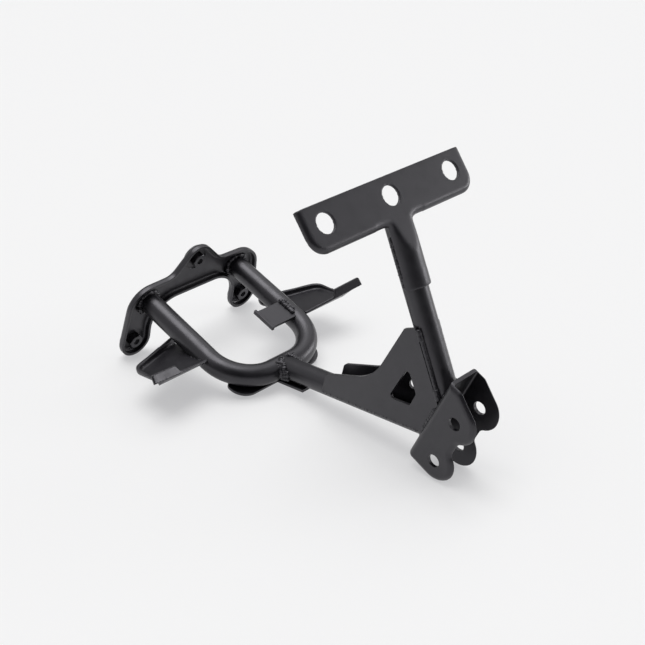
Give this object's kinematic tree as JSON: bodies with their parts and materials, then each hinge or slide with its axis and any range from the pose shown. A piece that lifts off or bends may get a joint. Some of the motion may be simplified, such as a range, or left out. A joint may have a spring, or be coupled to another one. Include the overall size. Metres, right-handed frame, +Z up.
{
  "type": "headlight mounting bracket",
  "caption": "Welded motorcycle headlight bracket of bent tube and pressed steel: lamp plate on a U-shaped loop, gusseted riser with a drilled tee plate, and a bolt-on clevis.",
  "frame": {"origin": "middle of the upper clevis bolt, half way between the ears", "axes": "+X to the rear of the motorcycle, +Y across it to the rider's right along the clevis bolts, +Z up"},
  "size_m": [0.2917, 0.2, 0.1844],
  "materials": {
    "black_paint": "satin black paint over steel",
    "painted_weld": "satin black paint over rippled weld beads"
  },
  "bodies": {
    "root": {"clevis_bracket": "black_paint", "riser_tube": "black_paint", "tee_plate": "black_paint", "loop_tube": "black_paint", "link_tube": "black_paint", "gusset_left": "black_paint", "gusset_right": "black_paint", "front_plate": "black_paint", "wing_left": "black_paint", "wing_right": "black_paint", "clip_tab": "black_paint", "loop_pad": "black_paint", "weld_nuts": "black_paint", "riser_foot_weld": "painted_weld", "link_clevis_weld": "painted_weld", "link_loop_weld": "painted_weld", "leg_plate_welds": "painted_weld", "gusset_clevis_welds": "painted_weld", "gusset_link_welds": "painted_weld", "gusset_riser_tacks": "painted_weld", "tee_stem_welds": "painted_weld", "tab_weld": "painted_weld", "wing_welds": "painted_weld"}
  },
  "joints": []
}
